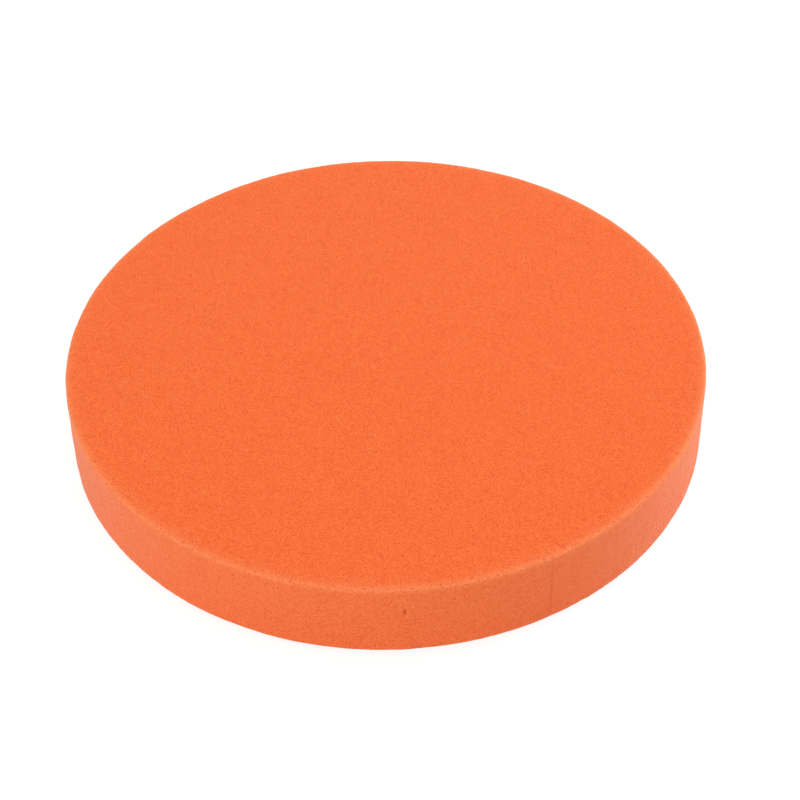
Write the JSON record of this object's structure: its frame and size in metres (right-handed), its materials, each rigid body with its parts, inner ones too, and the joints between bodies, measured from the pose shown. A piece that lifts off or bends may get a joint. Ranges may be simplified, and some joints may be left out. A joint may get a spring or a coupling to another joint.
{
  "type": "polishing pad",
  "caption": "Flat round orange foam polishing pad with a rounded rim and a hook-and-loop cloth backing.",
  "frame": {"origin": "centre of the lowest face, on the tips of the backing's loops", "axes": "+Z out of the foam's working face, along the pad's axis; the pad is the same all round, so +X and +Y are any two directions at right angles across it"},
  "size_m": [0.18, 0.18, 0.025],
  "materials": {
    "orange_foam": "matte",
    "laminating_film": "satin",
    "ground_cloth": "matte",
    "loop_yarn": "matte"
  },
  "bodies": {
    "root": {"foam_disc": "orange_foam", "adhesive_film": "laminating_film", "backing_cloth": "ground_cloth", "loop_pile": "loop_yarn"}
  },
  "joints": []
}
